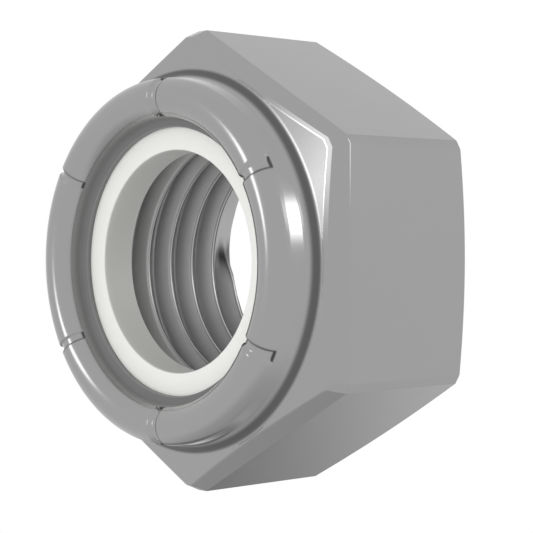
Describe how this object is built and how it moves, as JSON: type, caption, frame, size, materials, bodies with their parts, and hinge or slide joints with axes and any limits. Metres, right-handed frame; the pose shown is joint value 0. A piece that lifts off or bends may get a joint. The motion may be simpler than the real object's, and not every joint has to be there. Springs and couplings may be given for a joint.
{
  "type": "nylon insert lock nut",
  "caption": "Hexagon lock nut with a nylon ring held in a crimped round collar above a right-hand threaded hole.",
  "frame": {"origin": "centre of the bearing face, on the thread's axis", "axes": "+Z along the thread's axis from the bearing face to the collar, +X square to one flat of the hexagon"},
  "size_m": [0.0142, 0.0162, 0.0083],
  "materials": {
    "steel": "smooth bright zinc-plated steel with faint tumbling marks",
    "nylon": "natural off-white nylon, slightly translucent, soft sheen"
  },
  "bodies": {
    "root": {"nut_body": "steel", "nylon_insert": "nylon"}
  },
  "joints": []
}
